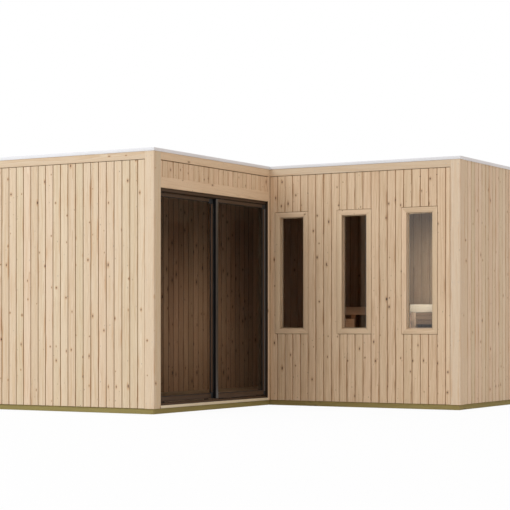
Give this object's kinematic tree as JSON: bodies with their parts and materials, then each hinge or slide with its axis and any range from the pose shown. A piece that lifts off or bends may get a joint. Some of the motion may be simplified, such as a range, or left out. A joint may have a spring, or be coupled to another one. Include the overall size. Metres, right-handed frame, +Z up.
{
  "type": "sauna cabin",
  "caption": "L-shaped timber sauna cabin with a flat roof, vertical board cladding, a sliding glass door and tall narrow windows.",
  "frame": {"origin": "centre of the footprint's box, on the ground under the base beams", "axes": "+X to the right along the front, +Y from the front to the back, +Z up"},
  "size_m": [4.053, 5.202, 2.418],
  "materials": {
    "pine_outside": "planed, untreated",
    "framing_timber": "sawn",
    "treated_timber": "pressure treated, green",
    "lining_boards": "planed",
    "floor_boards": "planed",
    "bench_wood": "planed, rounded edges",
    "roofing_felt": "mineral surfaced",
    "white_flashing": "satin",
    "dark_metal": "satin powder coat",
    "door_glass": "clear",
    "window_glass": "clear"
  },
  "bodies": {
    "cabin": {"front_wall": "framing_timber", "left_wall": "framing_timber", "back_wall": "framing_timber", "right_wall": "framing_timber", "wing_front_wall": "framing_timber", "door_post": "framing_timber", "door_header": "framing_timber", "roof_panel_block": "framing_timber", "roof_panel_wing": "framing_timber", "door_sill": "pine_outside", "front_cladding": "pine_outside", "left_cladding": "pine_outside", "back_cladding": "pine_outside", "right_cladding": "pine_outside", "wing_front_cladding": "pine_outside", "header_cladding": "pine_outside", "corner_boards_face": "pine_outside", "corner_boards_side": "pine_outside", "inner_corner_strip": "pine_outside", "header_board": "pine_outside", "fascia_cross": "pine_outside", "fascia_door_side": "pine_outside", "window_casings": "pine_outside", "window_frames": "pine_outside", "base_beams_cross": "treated_timber", "base_beams_side": "treated_timber", "floor_joists": "treated_timber", "lining_cross": "lining_boards", "lining_side": "lining_boards", "ceiling_block": "lining_boards", "ceiling_wing": "lining_boards", "floor_block": "floor_boards", "floor_wing": "floor_boards", "roof_felt_block": "roofing_felt", "roof_felt_wing": "roofing_felt", "flashing_cross": "white_flashing", "flashing_side": "white_flashing", "bench_seat_left": "bench_wood", "bench_seat_right": "bench_wood", "bench_boards": "bench_wood", "bench_legs": "bench_wood", "door_jambs": "dark_metal", "door_head": "dark_metal", "door_track": "dark_metal", "window_glass": "window_glass"},
    "left_leaf": {"left_leaf_stiles": "dark_metal", "left_leaf_rails": "dark_metal", "left_leaf_glass": "door_glass"},
    "right_leaf": {"right_leaf_stiles": "dark_metal", "right_leaf_rails": "dark_metal", "right_leaf_glass": "door_glass"}
  },
  "joints": [
    {"name": "left_leaf_slide", "type": "slide", "parent": "cabin", "child": "left_leaf", "axis": [0, 1, 0], "range_m": [0, 0.9]},
    {"name": "right_leaf_slide", "type": "slide", "parent": "cabin", "child": "right_leaf", "axis": [0, -1, 0], "range_m": [0, 0.9]}
  ]
}
